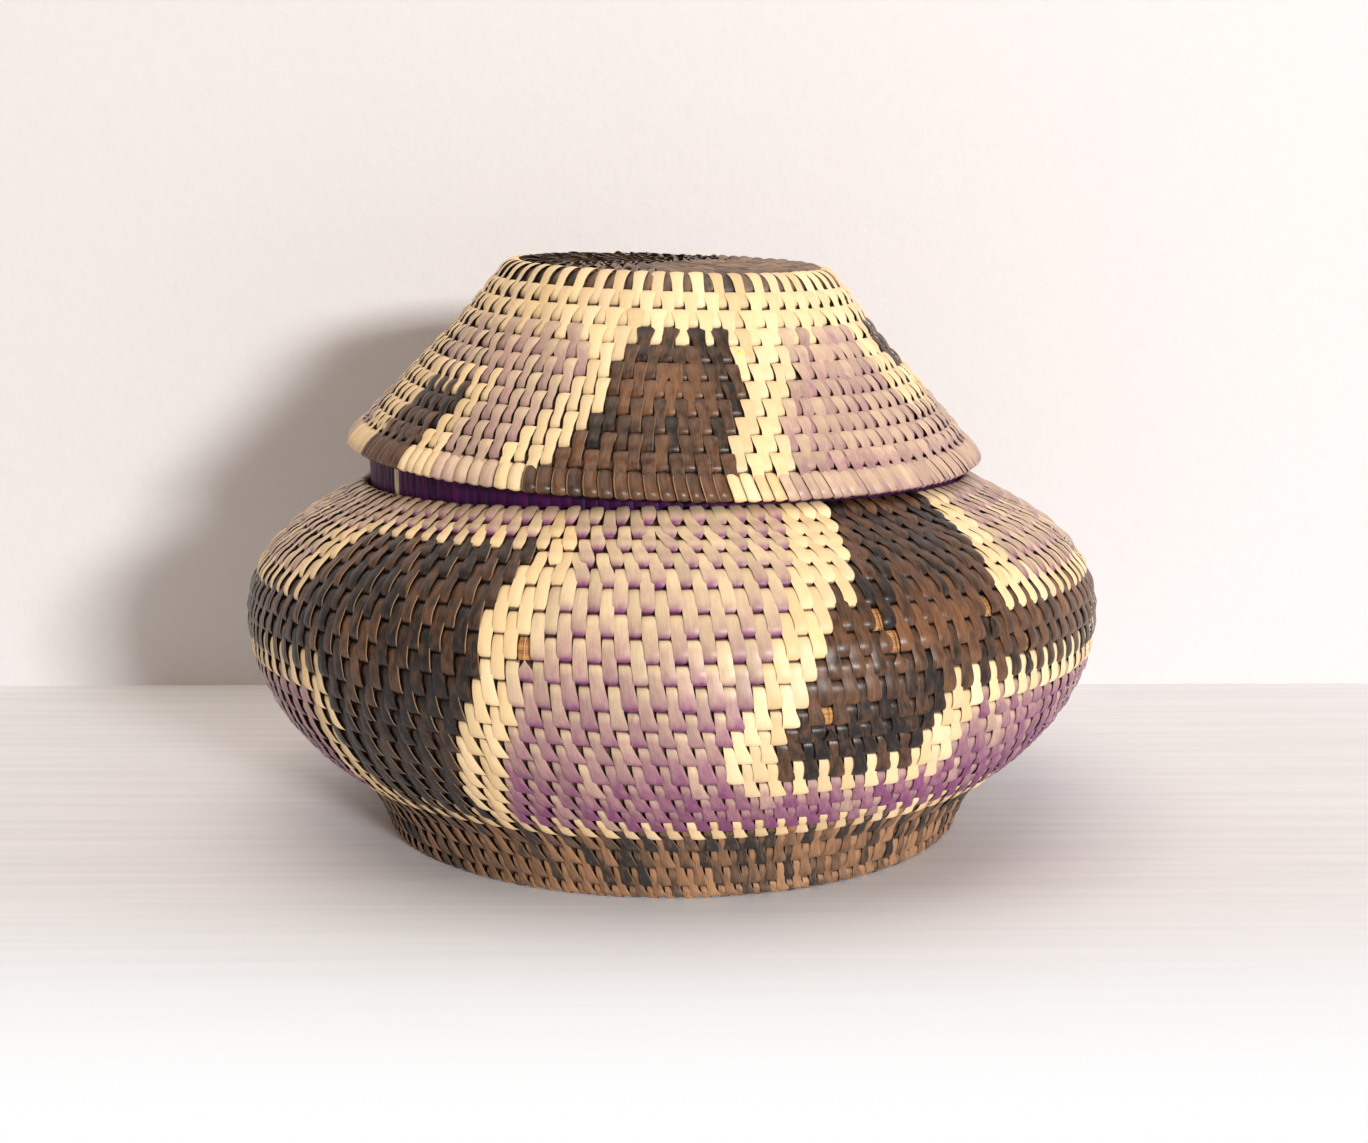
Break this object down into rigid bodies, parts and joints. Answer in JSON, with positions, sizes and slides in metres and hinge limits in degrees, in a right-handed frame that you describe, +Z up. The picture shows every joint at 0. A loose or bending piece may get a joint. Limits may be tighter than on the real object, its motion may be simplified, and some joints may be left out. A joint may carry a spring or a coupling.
{
  "type": "lidded basket",
  "caption": "Lidded coiled basket: round belly on a low coiled foot, upright dyed collar in the mouth and a flared lid with a flat crown, sewn in dark, natural and mauve straw.",
  "frame": {"origin": "centre of the foot's ring on the surface the basket stands on", "axes": "+Z up along the bowl's axis; -Y towards the viewer of the picture, the side on which the lid dips"},
  "size_m": [0.3392, 0.3392, 0.2271],
  "materials": {
    "dark_straw": "satin, dyed plant fibre",
    "natural_straw": "satin, undyed plant fibre",
    "mauve_straw": "satin, faded dyed plant fibre",
    "purple_straw": "satin, dyed plant fibre"
  },
  "bodies": {
    "basket": {"foot_coil": "dark_straw", "base_coil": "natural_straw", "belly_coil": "mauve_straw", "shoulder_coil": "mauve_straw", "collar_band": "purple_straw"},
    "lid": {"crown_coil": "dark_straw", "lid_wall_coil": "natural_straw", "lid_rim_coil": "mauve_straw"}
  },
  "joints": [
    {"name": "lid_lift", "type": "slide", "parent": "basket", "child": "lid", "axis": [0, 0, 1], "range_m": [0, 0.15]}
  ]
}
